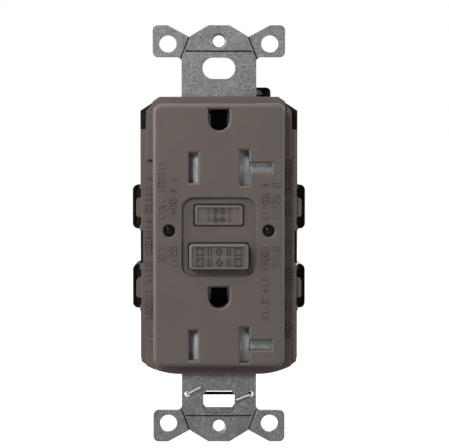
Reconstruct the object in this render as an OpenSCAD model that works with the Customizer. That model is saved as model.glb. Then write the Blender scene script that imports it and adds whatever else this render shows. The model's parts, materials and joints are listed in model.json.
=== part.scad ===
// Self-testing earth-fault receptacle, 20 A, two tamper-resistant outlets, earth holes up.
// Frame: X to the right, Z up, the front looks along -Y. The origin is at the device's centre,
// on the rear face of the mounting strap.

/* [Face] */
// Width of the raised face
face_w = 32.7; // [32.4:0.1:32.9]
// Height of the raised face
face_h = 65.4; // [65.2:0.1:65.6]
// Distance from the strap's rear face to the face's front
face_front = 7.0; // [6.9:0.05:7.1]
// Thickness of the face
face_t = 1.6; // [1.5:0.05:1.65]
// Depth of the recess around the two buttons
recess_depth = 0.9; // [0.7:0.05:1.0]

/* [Blade slots] */
// Distance of the blade slots from the centre line
slot_x = 6.3; // [6.25:0.05:6.35]
// Width of a blade slot
slot_w = 2.25; // [2.1:0.05:2.3]
// Height of the straight slots
slot_h = 7.3; // [7.0:0.1:7.4]
// Height of the T slots
tee_h = 8.7; // [8.4:0.1:8.7]
// Outer end of the T slots' side arm
tee_end = 13.0; // [12.8:0.05:13.0]
// Radius of the earth holes' round end
earth_r = 2.6; // [2.55:0.05:2.65]

/* [Buttons] */
// How far the popped-out reset button stands in front of the face
reset_proud = 2.0; // [1.6:0.1:2.2]

/* [Strap] */
// Overall length of the strap
strap_l = 104.7; // [104.5:0.1:104.9]
// Width over the ears
ear_w = 33.1; // [33.0:0.1:33.3]
// Width of the strap where it leaves the body
strap_w = 18.7; // [18.5:0.1:18.8]
// Thickness of the strap
strap_t = 1.2; // [1.1:0.05:1.25]
// Spacing of the wallplate screw holes
plate_holes = 96.84; // [96.8:0.01:96.9]
// Spacing of the box screw slots
box_holes = 83.34; // [83.3:0.01:83.4]

/* [Rear housing] */
// Depth of the housing behind the strap
housing_depth = 26.5; // [26.5:0.1:27.5]
// Wall thickness of the housing
wall = 1.6; // [1.5:0.05:1.6]

/* [Hidden] */

$fn = 48;
slack = 0.1;            // clearance between pieces that only touch in use

brown = "#645b56";
black = "#1c1c1e";
steel = "#b4b6b8";
brass = "#c9a24a";
copper = "#b8703c";
plastic_grey = "#a8a8aa";

// Heights of the outlets
top_z = 16.7;           // blade slots of the upper outlet
bottom_z = -27.3;       // blade slots of the lower outlet
earth_up = 11.9;        // earth hole above its blade slots
outlets = [top_z, bottom_z];

// Button recess and buttons
recess_size = [18.4, 19.7];
recess_z = -0.4;
test_size = [11.95, 5.08];
test_z = 5.04;
reset_size = [14.63, 6.37];
reset_z = -5.18;
lens_x = 12.3;
lens_z = 1.16;
lens_r = 1.45;
pin_r = 1.1;

// Layers, measured along Y
face_back = -face_front + face_t;
rim_front = -2.8;       // raised rim around the face
shoulder_front = -1.6;  // lower shoulders
strap_front = -strap_t;
cover_back = 5.0;       // parting plane between cover and rear housing
tray_floor = [3.9, 4.9];
carrier_floor = [9.8, 11.0];
shutter_back = -1.9;
shutter_front = face_back + slack;

// Terminals
line_z = 6.87;
load_z = -13.43;
terminal_y = 12.0;
guard_h = 11.26;
shank_r = 1.95;

// Housing outline
half_w = 20.0;
housing_z = [-33.9, 33.6];
post_x = 13.9;
posts = [[post_x, 25.3], [-post_x, 25.3], [post_x, -20.4], [-post_x, -20.4]];
earth_screw_at = [11.6, 30.6];  // y and z of the earth screw's axis
rivet_dz = 4.4;                 // rivets above and below an earth hole's centre

// ---- helpers -------------------------------------------------------------------------------

// Box from ranges along X, Y and Z
module block(x, y, z)
    translate([x[0], y[0], z[0]]) cube([x[1] - x[0], y[1] - y[0], z[1] - z[0]]);

// Box at both sides of the centre line
module block_pair(x, y, z) {
    block(x, y, z);
    block([-x[1], -x[0]], y, z);
}

// Extrudes a drawing in X and Z along Y
module along_y(y)
    translate([0, y[1], 0]) rotate([90, 0, 0]) linear_extrude(y[1] - y[0]) children();

// Extrudes a drawing in X and Y along Z
module along_z(z)
    translate([0, 0, z[0]]) linear_extrude(z[1] - z[0]) children();

// Extrudes a drawing in Y and Z along X
module along_x(x)
    translate([x[0], 0, 0]) rotate([90, 0, 90]) linear_extrude(x[1] - x[0]) children();

module ycyl(r, y, x = 0, z = 0)
    translate([x, y[1], z]) rotate([90, 0, 0]) cylinder(r = r, h = y[1] - y[0]);

module xcyl(r, x, y, z)
    translate([x[0], y, z]) rotate([0, 90, 0]) cylinder(r = r, h = x[1] - x[0]);

module zcyl(r, z, x, y)
    translate([x, y, z[0]]) cylinder(r = r, h = z[1] - z[0]);

// Cone frustum along Y
module ycone(r_front, r_back, y, x = 0, z = 0)
    translate([x, y[1], z]) rotate([90, 0, 0]) cylinder(r1 = r_back, r2 = r_front, h = y[1] - y[0]);

// Rounded rectangle, centred
module rounded(size, r) {
    square([size[0] - 2 * r, size[1]], center = true);
    square([size[0], size[1] - 2 * r], center = true);
    for (sx = [-1, 1], sz = [-1, 1])
        translate([sx * (size[0] / 2 - r), sz * (size[1] / 2 - r)]) circle(r);
}

// Rectangle from ranges
module rect(x, z)
    translate([x[0], z[0]]) square([x[1] - x[0], z[1] - z[0]]);

// Block with rounded corners and a softened front edge
module pillow(size, r, edge, y)
    hull() for (sx = [-1, 1], sz = [-1, 1])
        translate([sx * (size[0] / 2 - r), y[1], sz * (size[1] / 2 - r)]) rotate([90, 0, 0])
            rotate_extrude($fn = 32) polygon(concat(
                [[0, 0], [r, 0]],
                [for (a = [0 : 22.5 : 90])
                    [r - edge + edge * cos(a), y[1] - y[0] - edge + edge * sin(a)]],
                [[0, y[1] - y[0]]]));

// Straight round rod between two points
module rod(p, q, r) {
    d = q - p;
    translate(p) rotate([0, acos(d[2] / norm(d)), atan2(d[1], d[0])])
        cylinder(r = r, h = norm(d), $fn = 24);
}

// Helical spring along Y as one swept tube
function spring_ring(c, a, r, wire, sides) =
    [for (k = [0 : sides - 1]) let (b = 360 * k / sides, d = r + wire * cos(b))
        [d * cos(a), c + wire * sin(b), d * sin(a)]];
module spring(r, wire, y, turns, steps = 12, sides = 6) {
    n = turns * steps;
    pitch = (y[1] - y[0] - 2 * wire) / n;
    rings = [for (i = [0 : n]) spring_ring(y[0] + wire + i * pitch, 360 * i / steps, r, wire, sides)];
    polyhedron(
        [for (ring = rings) each ring],
        concat(
            [[for (k = [0 : sides - 1]) k]],
            [for (i = [0 : n - 1], k = [0 : sides - 1]) let (m = (k + 1) % sides)
                [i * sides + k, (i + 1) * sides + k, (i + 1) * sides + m, i * sides + m]],
            [[for (k = [sides - 1 : -1 : 0]) n * sides + k]]),
        convexity = 6);
}

// ---- cover ---------------------------------------------------------------------------------

// Bevelled rectangular opening in the face
module bevelled_cut(x, z, bevel) {
    block(x, [-face_front - 1, face_back + 1], z);
    y = [-face_front - 0.01, -face_front + bevel];
    intersection() {
        along_z([z[0] - bevel, z[1] + bevel]) polygon([
            [x[0] - bevel, y[0]], [x[1] + bevel, y[0]], [x[1], y[1]], [x[0], y[1]]]);
        along_x([x[0] - bevel, x[1] + bevel]) polygon([
            [y[0], z[0] - bevel], [y[0], z[1] + bevel], [y[1], z[1]], [y[1], z[0]]]);
    }
}

module straight_slot(z, bevel = 0.45)
    bevelled_cut([-slot_x - slot_w / 2, -slot_x + slot_w / 2], [z - slot_h / 2, z + slot_h / 2], bevel);

module tee_slot(z, bevel = 0.45) {
    arm = 1.17;
    bevelled_cut([slot_x - slot_w / 2, slot_x + slot_w / 2], [z - tee_h / 2, z + tee_h / 2], bevel);
    bevelled_cut([slot_x, tee_end], [z - arm, z + arm], bevel);
}

// Earth hole, flat above and round below
module earth_slot(z, bevel = 0.45) {
    y = [-face_front - 1, face_back + 1];
    ycyl(earth_r, y, 0, z);
    ycone(earth_r + bevel, earth_r, [-face_front - 0.01, -face_front + bevel], 0, z);
    bevelled_cut([-earth_r, earth_r], [z, z + earth_r - 0.05], bevel);
}

module face_openings() {
    along_y([-face_front - 1, -face_front + recess_depth])
        translate([0, recess_z]) rounded(recess_size, 3.0);
    along_y([-face_front - 1, face_back + 1]) {
        translate([0, test_z]) rounded(test_size + [0.6, 0.5], 0.75);
        translate([0, reset_z]) rounded(reset_size + [0.6, 0.5], 0.9);
    }
    for (z = outlets) {
        straight_slot(z);
        tee_slot(z);
        earth_slot(z + earth_up);
    }
    for (sx = [-1, 1]) {
        ycyl(lens_r + 0.05, [-face_front - 1, face_back + 1], sx * lens_x, lens_z);
        ycone(1.8, lens_r + 0.05, [-face_front - 0.01, -face_front + 0.3], sx * lens_x, lens_z);
    }
}

// Outline of the rim: chamfered above, round below, with a raised strip at the corners
module rim_outline() {
    polygon([[-14.8, 34.45], [14.8, 34.45], [16.5, 33.3], [16.5, -32], [-16.5, -32], [-16.5, 33.3]]);
    for (sx = [-1, 1]) {
        rect([sx > 0 ? 16 : -18.15, sx > 0 ? 18.15 : -16], [18.8, 29.9]);
        rect([sx > 0 ? 16 : -17.15, sx > 0 ? 17.15 : -16], [29, 30.9]);
        translate([sx * 17.15, 29.9]) circle(1.0);
        rect([sx > 0 ? 16 : -18.15, sx > 0 ? 18.15 : -16], [-31.8, -25.9]);
    }
    flat = 9.6;
    bow = 18.6;
    low = -35.0;
    rect([-flat, flat], [low, -31.7]);
    for (sx = [-1, 1]) intersection() {
        translate([sx * flat, bow + low]) circle(bow, $fn = 120);
        rect([sx > 0 ? flat - 0.1 : -18.15, sx > 0 ? 18.15 : 0.1 - flat], [low, -31.7]);
    }
}

// Outline of the lower shoulders
module shoulder_outline() polygon([
    [-16.2, 33.1], [16.2, 33.1], [18.1, 31.2], [18.1, 26.35], [19.5, 26.35], [19.5, -31.9],
    [17.5, -33.4], [-17.5, -33.4], [-19.5, -31.9], [-19.5, 26.35], [-18.1, 26.35], [-18.1, 31.2]]);

// Tongues and steps that reach over the terminal guards
module terminal_tongues() {
    for (sx = [-1, 1], z = [line_z, load_z]) {
        translate([sx * 19.2, z - 0.1]) rounded([3.2, 4.8], 0.7);
        for (dz = [5.2, -5.2]) translate([sx * 18.9, z + dz]) square([2.0, 1.2], center = true);
    }
}

module front_cover() color(brown) {
    half_h = face_h / 2 - 0.9;
    difference() {
        union() {
            pillow([face_w, face_h], 2.1, 1.1, [-face_front, rim_front]);
            along_y([rim_front, shoulder_front]) rim_outline();
            along_y([shoulder_front, strap_front]) {
                rim_outline();
                shoulder_outline();
            }
            along_y([strap_front, cover_back]) shoulder_outline();
            along_y([-0.6, cover_back]) terminal_tongues();
        }
        // hollow for the shutters and the middle housing
        block([-14.75, 14.75], [face_back, strap_front + 0.01], [-half_h, half_h]);
        block([-17.8, 17.8], [strap_front, cover_back + 1], [-31.8, 26]);
        block([-16.6, 16.6], [strap_front, cover_back + 1], [25.9, 31.7]);
        // way out for the strap
        block([-9.45, 9.45], [strap_front, 0.05], [-40, 40]);
        // thinner shoulder edge between the terminals
        block_pair([19.0, 21], [shoulder_front - 1, cover_back + 1], [-7.5, 1.0]);
        face_openings();
        for (p = posts) ycyl(1.2, [-2.6, cover_back], p[0], p[1]);
    }
    difference() {
        for (p = posts) ycyl(2.0, [face_back - 0.1, 0], p[0], p[1]);
        for (p = posts) ycyl(1.2, [-2.6, cover_back], p[0], p[1]);
        block_pair([14.75, 17], [-8, strap_front], [-40, 40]);
    }
}

// ---- strap ---------------------------------------------------------------------------------

// One end of the strap, drawn for the upper end
module strap_end_outline() {
    half = strap_w / 2;
    fillet = 1.2;
    ear_base = 44.45;
    translate([0, (strap_l / 2 + ear_base) / 2]) rounded([ear_w, strap_l / 2 - ear_base], 1.3);
    rect([-half, half], [31.9, 46]);
    difference() {
        rect([-half - fillet, half + fillet], [ear_base - fillet, ear_base + 0.5]);
        for (sx = [-1, 1]) translate([sx * (half + fillet), ear_base - fillet]) circle(fillet);
    }
}

module strap_end_cuts() {
    top = strap_l / 2;
    for (sx = [-1, 1]) {
        translate([sx * 12.75, 47.75]) circle(2.17);
        // notch between the ear and the middle plate
        polygon([
            [sx * 2.65, top], [sx * 2.65, top + 1], [sx * 12.8, top + 1], [sx * 12.8, top],
            [sx * 7.55, 49.5], [sx * 7.35, 49.5]]);
    }
    translate([0, plate_holes / 2]) circle(1.5);
}

// Lower mounting slot, narrower along its top and bottom
module lower_slot() translate([0, -box_holes / 2]) polygon([
    [-3.2, 2.2], [3.2, 2.2], [3.75, 1.5], [3.95, 1.0], [3.95, -1.3], [3.3, -2.1], [-3.3, -2.1],
    [-3.95, -1.3], [-3.95, 1.0], [-3.75, 1.5]]);

// Break-off score lines of one ear pair
module strap_scores(z_sign) {
    depth = 0.4;
    half = 0.24;
    mouth = strap_front - 0.01;
    along_x([-8.3, 8.3]) translate([0, z_sign * 45.85])
        polygon([[mouth, -half], [mouth, half], [strap_front + depth, 0]]);
    for (sx = [-1, 1]) translate([sx * 8.53, 0, z_sign * 46.65]) rotate([0, -sx * z_sign * 21.3, 0])
        along_z([-3.3, 3.3]) polygon([[-half, mouth], [half, mouth], [0, strap_front + depth]]);
}

module strap_core_outline() {
    rect([-3.2, 3.2], [-32, 32]);
    for (z = outlets) translate([0, z + earth_up]) circle(5.4);
    translate([0, reset_z]) circle(5.6);
}

// Tab bent back at the right for the earth terminal
module earth_tab() {
    leg = [9.6, 10.8];
    low = [30.0, 31.4];
    block([7.5, leg[1]], [strap_front, 0], low);
    block([7.5, strap_w / 2], [strap_front, 0], [low[1] - 0.1, 32]);
    block(leg, [-0.3, 7.0], low);
    // gusset that shows in the hood's window
    along_y([4.75, 5.5]) polygon([[leg[0], 35.3], [11.2, 35.3], [10.4, 36.5], [leg[0], 36.5]]);
    block([leg[0], 10.6], [5.4, 7.0], [35.3, 35.95]);
    difference() {
        block(leg, [6.8, 16.0], [27.4, 36.0]);
        xcyl(2.03, [9, 12], earth_screw_at[0], earth_screw_at[1]);
    }
}

module mounting_strap() color(steel) {
    difference() {
        along_y([strap_front, 0]) difference() {
            union() {
                for (m = [0, 1]) mirror([0, m]) strap_end_outline();
                strap_core_outline();
            }
            for (m = [0, 1]) mirror([0, m]) strap_end_cuts();
            translate([0, box_holes / 2]) rounded([8.2, 5.4], 2.65);
            lower_slot();
            for (z = outlets) {
                translate([0, z + earth_up]) circle(3.1);
                for (dz = [-rivet_dz, rivet_dz]) translate([0, z + earth_up + dz]) circle(0.75);
            }
            translate([0, reset_z]) circle(3.2);
            for (sx = [-1, 1]) translate([sx * 8.0, -40.4]) circle(0.75);
        }
        for (s = [-1, 1]) strap_scores(s);
        // coined step along the lower slot
        along_y([strap_front - 1, strap_front + 0.5]) intersection() {
            translate([0, -box_holes / 2 - 0.6]) rounded([8.1, 6.0], 1.6);
            rect([-5, 5], [-box_holes / 2 - 4, -box_holes / 2 - 0.4]);
        }
        for (z = [-1, 1] * plate_holes / 2)
            ycone(1.95, 1.5, [strap_front - 0.01, strap_front + 0.4], 0, z);
    }
    earth_tab();
}

module self_earthing_wire() color(steel) {
    r = 0.3;
    front = strap_front - 1.1 * r;
    back = 1.1 * r;
    route = [
        [-4.4, front, -38.5], [-8.0, front, -40.4], [-8.0, back, -40.3],
        [8.0, back, -40.3], [8.0, front, -40.4], [4.4, front, -41.8]];
    for (i = [0 : len(route) - 2]) rod(route[i], route[i + 1], r);
    for (p = route) translate(p) sphere(1.08 * r, $fn = 24);
}

// ---- middle housing ------------------------------------------------------------------------

// Body of the carrier: a shallow tray with deeper wells for the blade clips
module carrier_blocks() {
    block([-17.6, 17.6], [0.1, tray_floor[1]], [-31.6, 25.8]);
    block([-16.4, 16.4], [0.1, tray_floor[1]], [25.7, 31.5]);
    block([-9.6, 9.6], [4, carrier_floor[1]], [-24, 13.3]);
    block([-10.9, 10.9], [4, carrier_floor[1]], [-31.6, -23]);
    block([-10.9, 7.6], [4, carrier_floor[1]], [12.3, 31.4]);
    block([-10.9, 10.9], [4, carrier_floor[1]], [12.3, 26]);
    for (z = outlets) block([-14.4, 14.4], [4, carrier_floor[1]], [z - 3, z + 2.6]);
}

// Space taken out for the contacts of one outlet
module clip_wells(z) {
    y = [0, carrier_floor[0]];
    block([-10.8, -4.7], y, [z - 4, z + 4]);
    block([4.7, 8.6], y, [z - 4, z + 4]);
    block([8.5, 13.6], y, [z - 1.9, z + 1.9]);
    block([8.5, 10.8], y, [z - 4, z + 4]);
    block([-4.5, 4.5], [0, 1.2], [z + earth_up - 5.6, min(z + earth_up + 5.6, 31)]);
    block([-3.25, 3.25], y, [z + earth_up - 2.6, min(z + earth_up + 2.6, 31.2)]);
}

module middle_housing() color("#3a3a3d") difference() {
    carrier_blocks();
    for (z = outlets) clip_wells(z);
    // channels of the load strips, beside the middle part
    block_pair([9.7, 11.1], [0, carrier_floor[1] + 1], [-23.4, 12.8]);
    // terminal tails and their bridges
    for (z = [line_z, load_z]) {
        block_pair([9.4, 17.8], [0, tray_floor[0]], [z - 2.1, z + 2.1]);
        block_pair([16.5, 17.8], [0, 6], [z - 2.1, z + 2.1]);
    }
    block_pair([8.0, 9.3], [0, carrier_floor[1] + 1], [line_z - 2.1, line_z + 2.1]);
    block_pair([9.2, 10], [0, tray_floor[0]], [line_z - 2.1, line_z + 2.1]);
    // reset spring and pin, test leaf, lamps, assembly screws
    ycyl(3.0, [0, carrier_floor[0]], 0, reset_z);
    ycyl(pin_r + 0.15, [0, carrier_floor[1] + 1], 0, reset_z);
    block([3.6, 9.0], [0, tray_floor[0]], [2.6, 4.6]);
    for (sx = [-1, 1]) ycyl(1.7, [0, 6], sx * lens_x, lens_z);
    for (p = posts) ycyl(1.45, [0, 6], p[0], p[1]);
    // leg of the strap's earth tab
    block([9.4, 11.0], [0, 6], [29.8, 32]);
}

// ---- rear housing --------------------------------------------------------------------------

module housing_outline() polygon([
    [-16.5, housing_z[1]], [16.5, housing_z[1]], [half_w, 31.3], [half_w, -31.9],
    [17.4, housing_z[0]], [-17.4, housing_z[0]], [-half_w, -31.9], [-half_w, 31.3]]);

// Space of one pair of terminals, at both sides
module terminal_pocket(z) {
    block_pair([12.4, 23], [7.0, 17.0], [z - 4.6, z + 4.6]);
    block_pair([16.4, 17.8], [4, 8], [z - 2.1, z + 2.1]);
    // shallow front recess that leaves a thin rim
    for (sx = [-1, 1]) along_y([4, 6.0])
        translate([sx * 20.45, z]) rounded([2.1, guard_h - 1.0], 0.9);
    // back-wire holes
    for (sx = [-1, 1], dz = [-2.3, 2.3]) ycyl(1.4, [16, housing_depth + 1], sx * 16.1, z + dz);
}

module terminal_walls(z) {
    half = guard_h / 2;
    block_pair([11.2, 19], [cover_back, 18.2], [z - half, z + half]);
    block_pair([14.2, 18], [17, housing_depth - 1], [z - 4.6, z + 4.6]);
    for (sx = [-1, 1]) along_y([cover_back, 18.5]) {
        translate([sx * 19.5, z]) rounded([5.0, guard_h], 1.4);
        translate([sx * 18.2, z]) square([2.4, guard_h], center = true);
    }
}

module rear_chamfers(c) {
    y = housing_depth + 0.01;
    for (m = [0, 1]) mirror([m, 0, 0]) along_z([-40, 40])
        polygon([[half_w - c, y], [half_w + 0.01, y], [half_w + 0.01, y - c]]);
    for (z = housing_z) let (s = sign(z)) along_x([-30, 30])
        polygon([[y, z - s * c], [y, z + s * 0.01], [y - c, z + s * 0.01]]);
}

module rear_housing() color(black) {
    y = [cover_back, housing_depth];
    inner = [[-half_w + wall, half_w - wall], [housing_z[0] + wall, housing_z[1] - wall]];
    difference() {
        union() {
            difference() {
                along_y(y) housing_outline();
                block(inner[0], [cover_back - 1, housing_depth - wall], inner[1]);
            }
            for (z = [line_z, load_z]) terminal_walls(z);
            for (p = posts) ycyl(2.4, [cover_back, housing_depth - 1], p[0], p[1]);
            // corner block and hood of the earth terminal
            along_y([cover_back, 18.7]) intersection() {
                housing_outline();
                rect([8.3, half_w], [26.4, housing_z[1]]);
            }
            along_y([cover_back, 6.6]) difference() {
                union() {
                    rect([9.5, 13.15], [33, 36.0]);
                    rect([9.5, 12.0], [33, 37.2]);
                    translate([11.95, 36.0]) circle(1.2);
                }
                rect([9, 12.6], [33.8, 36.7]);
            }
            along_y([5.8, 6.6]) difference() {
                rect([9.5, 12.8], [33, 36.9]);
                rect([9, 10.75], [33.7, 36.1]);
            }
        }
        for (z = [line_z, load_z]) terminal_pocket(z);
        for (p = posts) {
            ycyl(1.3, [cover_back - 1, housing_depth + 1], p[0], p[1]);
            ycyl(2.3, [housing_depth - 1.9, housing_depth + 1], p[0], p[1]);
        }
        block([9.5, 22], [6.6, 17.5], [27.2, 38]);
        block([9.4, 11.0], [4, 7], [29.8, 31.7]);
        xcyl(2.3, [7, 10], earth_screw_at[0], earth_screw_at[1]);
        block([-40, 40], [-5, cover_back], [-40, 40]);
        // chamfered rear edges, label panel, strip gauge
        rear_chamfers(1.4);
        block([-11, 11], [housing_depth - 0.35, housing_depth + 1], [-14.5, 19.5]);
        block([-8, 8], [housing_depth - 0.5, housing_depth + 1], [-27.4, -26.6]);
        block_pair([7.2, 8], [housing_depth - 0.5, housing_depth + 1], [-28.6, -25.4]);
        // room for the middle housing's wells
        for (z = outlets) block([-14.5, 14.5], [4, carrier_floor[1]], [z - 3.05, z + 2.65]);
    }
}

module assembly_screws() color(steel) for (p = posts) difference() {
    union() {
        ycyl(1.15, [-2.5, housing_depth - 1.5], p[0], p[1]);
        ycyl(2.1, [housing_depth - 1.9, housing_depth - 0.3], p[0], p[1]);
    }
    for (a = [0, 90]) translate([p[0], housing_depth - 0.3, p[1]]) rotate([0, a, 0])
        block([-1.3, 1.3], [-0.8, 1], [-0.3, 0.3]);
}

// ---- earth parts ---------------------------------------------------------------------------

module earth_contact(z) color(steel) {
    difference() {
        block([-4.4, 4.4], [0.02, 0.5], [z - 5.3, z + min(5.3, 30.9 - z)]);
        block([-2.6, 2.6], [-1, 1], [z - 2.7, z + 2.7]);
        for (dz = [-rivet_dz, rivet_dz]) if (z + dz < 31) ycyl(0.75, [-1, 1], 0, z + dz);
    }
    block_pair([2.6, 3.1], [0.02, 8.4], [z - 2.1, z + 2.1]);
    block_pair([2.1, 3.1], [8.2, 8.7], [z - 2.1, z + 2.1]);
}
module earth_contact_top() earth_contact(top_z + earth_up);
module earth_contact_bottom() earth_contact(bottom_z + earth_up);

// Insulating plates in front of the strap that guide the earth pins
module earth_guides() color(black) for (z = outlets) let (at = z + earth_up) difference() {
    block([-3.1, 3.1], [strap_front - 0.55, strap_front - 0.05], [at - 3.1, at + 2.95]);
    ycyl(earth_r, [-3, 0], 0, at);
    block([-earth_r, earth_r], [-3, 0], [at, at + earth_r - 0.05]);
}

module earth_rivets() color(steel)
    for (z = outlets, dz = [-rivet_dz, rivet_dz]) if (z + earth_up + dz < 31)
        let (at = z + earth_up + dz) {
            ycyl(0.75, [strap_front, 0.5], 0, at);
            ycyl(1.15, [strap_front - 0.4, strap_front], 0, at);
            ycyl(1.15, [0.5, 0.9], 0, at);
        }

// Screw along X with a pan head and a combination recess, its shank starting at x[0]
module side_screw(side, y, z, shank, head, r_head) {
    slit = 0.55;
    mirror([side < 0 ? 1 : 0, 0, 0]) difference() {
        union() {
            xcyl(shank_r, shank, y, z);
            xcyl(r_head, head, y, z);
        }
        for (w = [[slit, 2 * r_head + 1], [2.4, slit]])
            translate([head[1], y, z]) cube([1.6, w[0], w[1]], center = true);
    }
}

module earth_screw() color("#4d8a55")
    side_screw(1, earth_screw_at[0], earth_screw_at[1], [9.6, 13.0], [12.8, 15.0], 3.2);

// ---- buttons and trip mechanism ------------------------------------------------------------

// Shallow tray inside the raised edge of a button's front
module button_tray(size, front, z)
    along_y([front - 1, front + 0.3]) translate([0, z]) rounded(size - [1.5, 1.5], 0.4);

module test_button() color("#6f6661") {
    front = -face_front + recess_depth - 0.5;
    difference() {
        translate([0, 0, test_z]) pillow(test_size, 0.7, 0.3, [front, face_back + 0.05]);
        button_tray(test_size, front, test_z);
    }
    along_y([face_back + 0.05, -4.6]) translate([0, test_z]) rounded([13.4, 6.4], 0.8);
    block([5.6, 7.6], [-4.7, 2.0], [3.0, 4.2]);
}

module reset_button() color("#6f6661") difference() {
    union() {
        translate([0, 0, reset_z])
            pillow(reset_size, 0.85, 0.45, [-face_front - reset_proud, face_back + 0.05]);
        along_y([face_back + 0.05, -4.6]) translate([0, reset_z]) rounded([16.2, 7.6], 1.0);
    }
    button_tray(reset_size, -face_front - reset_proud, reset_z);
    ycyl(pin_r + 0.02, [-7.0, 0], 0, reset_z);
}

module reset_pin() color(steel) {
    ycyl(pin_r, [-6.9, 14.6], 0, reset_z);
    ycone(1.45, 1.0, [14.0, 15.0], 0, reset_z);
}

module reset_spring() color(steel)
    translate([0, 0, reset_z]) spring(2.1, 0.28, [-4.55, carrier_floor[0] - 0.05], 7);

module test_leaf() color(brass) {
    block([3.7, 8.8], [2.1, 2.4], [2.8, 4.4]);
    block([3.7, 4.2], [2.1, tray_floor[0] - 0.05], [2.8, 4.4]);
}

module lifter() color("#d8d4c8") difference() {
    union() {
        block([-3.6, 3.6], [12.3, 20.4], [reset_z - 3.4, reset_z + 3.2]);
        block([-10.4, 10.4], [14.5, 15.9], [reset_z - 1.9, reset_z + 1.4]);
    }
    ycyl(1.75, [12, 21], 0, reset_z);
    block([-2.4, 2.4], [16.1, 17.1], [reset_z - 4, reset_z + 4]);
}

// Steel plate that catches the reset pin, with the leg that the plunger strikes
module latch_slide() color(steel) {
    slot_r = 1.62;
    travel = 1.2;
    along_y([16.2, 17.0]) difference() {
        rect([-2.3, 2.3], [reset_z - 4.7, reset_z + 2.2]);
        translate([0, reset_z]) circle(slot_r);
        translate([0, reset_z - travel]) circle(slot_r);
        rect([-slot_r, slot_r], [reset_z - travel, reset_z]);
    }
    block([-2.3, 2.3], [15.2, 18.8], [reset_z - 5.5, reset_z - 4.7]);
}

coil_y = 16.8;
coil_z = [-30.6, -13.0];

module solenoid_frame() color(steel) difference() {
    block([-6.8, 6.8], [coil_y - 5.4, coil_y + 5.4], [coil_z[0] - 1.0, coil_z[1] + 1.0]);
    block([-5.8, 5.8], [coil_y - 7, coil_y + 7], coil_z);
    zcyl(2.3, [coil_z[1] - 1, coil_z[1] + 2], 0, coil_y);
}

module solenoid_bobbin() color("#e6e2d6") difference() {
    union() {
        for (z = [coil_z[0] + 0.05, coil_z[1] - 1.05]) zcyl(5.3, [z, z + 1.0], 0, coil_y);
        zcyl(2.9, [coil_z[0] + 0.1, coil_z[1] - 0.1], 0, coil_y);
    }
    zcyl(2.2, [coil_z[0] - 1, coil_z[1] + 1], 0, coil_y);
}

module solenoid_coil() color(copper) difference() {
    zcyl(5.0, [coil_z[0] + 1.1, coil_z[1] - 1.1], 0, coil_y);
    zcyl(2.95, [coil_z[0], coil_z[1]], 0, coil_y);
}

module solenoid_plunger() color(steel) {
    tip = reset_z - 5.55;
    zcyl(2.1, [coil_z[0] + 6.5, coil_z[1] - 0.3], 0, coil_y);
    zcyl(1.3, [coil_z[1] - 1, tip], 0, coil_y);
}

module plunger_spring() color(steel)
    translate([0, coil_y, coil_z[0] + 0.15]) rotate([90, 0, 0])
        spring(1.6, 0.22, [0, 6.3], 5);

// ---- electronics ---------------------------------------------------------------------------

board_y = [22.4, 24.0];

module circuit_board() color("#1f5c3a") difference() {
    block([-13.6, 13.6], board_y, [-31.5, 25.9]);
    for (p = posts) ycyl(2.7, [20, 26], p[0], p[1]);
    for (x = [-8.6, 8.6], z = [-29, 21]) ycyl(0.8, [20, 26], x, z);
}

core_y = 16.8;
module sense_core(z) color("#5a5148") difference() {
    zcyl(5.2, z, 0, core_y);
    zcyl(3.0, [z[0] - 1, z[1] + 1], 0, core_y);
}
module sense_core_front() sense_core([16.2, 19.7]);
module sense_core_rear() sense_core([20.9, 24.4]);

module core_case() color("#26262a") difference() {
    union() {
        zcyl(5.3, [15.4, 16.15], 0, core_y);
        zcyl(5.3, [19.8, 20.8], 0, core_y);
        zcyl(5.3, [24.5, 25.2], 0, core_y);
        zcyl(2.95, [15.4, 25.2], 0, core_y);
    }
    zcyl(2.5, [15, 26], 0, core_y);
}

module film_capacitor() color("#c9a227") {
    block([6.2, 11.0], [16.4, 21.8], [14, 22.6]);
    for (z = [16, 20.6]) ycyl(0.3, [21.8, 22.4], 8.6, z);
}

module varistor() color("#2f6fb0") {
    ycyl(3.9, [18.0, 21.4], -9.8, 18.6);
    for (dx = [-2.2, 2.2]) ycyl(0.3, [21.4, 22.4], -9.8 + dx, 18.6);
}

module control_chip() color("#222224") {
    block([-2.5, 2.5], [20.9, 22.2], [4.0, 9.0]);
    for (x = [-3.1, 3.1], k = [0 : 3]) let (z = 4.4 + 1.27 * k)
        block([x - 0.6, x + 0.6], [22.2, 22.38], [z, z + 0.4]);
}

module thyristor() color("#222224") {
    along_y([17.6, 21.4]) intersection() {
        translate([-10.4, -27.5]) circle(2.4);
        rect([-13, -8], [-30, -26.2]);
    }
    for (dx = [-1.27, 0, 1.27]) ycyl(0.25, [21.4, 22.4], -10.4 + dx, -27.6);
}

module resistors() color("#b9a58a") for (k = [0 : 3]) {
    z = -30 + 2.4 * k;
    xcyl(0.8, [8.0, 11.4], 21.2, z);
    for (x = [7.7, 11.4]) block([x, x + 0.3], [21.05, 22.4], [z - 0.15, z + 0.15]);
}

module indicator_lamps() color("#d9d9c8") for (sx = [-1, 1]) {
    ycyl(1.4, [0.8, 3.6], sx * lens_x, lens_z);
    for (dx = [-0.6, 0.6]) ycyl(0.22, [3.6, board_y[0]], sx * (lens_x + dx), lens_z - 1.1);
}

module indicator_lenses() color("#3a1e1c") for (sx = [-1, 1]) {
    ycyl(lens_r, [-face_front + 0.95, 0.7], sx * lens_x, lens_z);
    ycyl(0.95, [-face_front + 0.6, -face_front + 1], sx * lens_x, lens_z);
    ycone(0.7, 0.95, [-face_front + 0.4, -face_front + 0.6], sx * lens_x, lens_z);
}

// ---- current path --------------------------------------------------------------------------

strip = 0.5;                 // thickness of the contact strips
clip_base = [8.5, 9.0];
tail_x = [16.6, 17.6];

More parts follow.
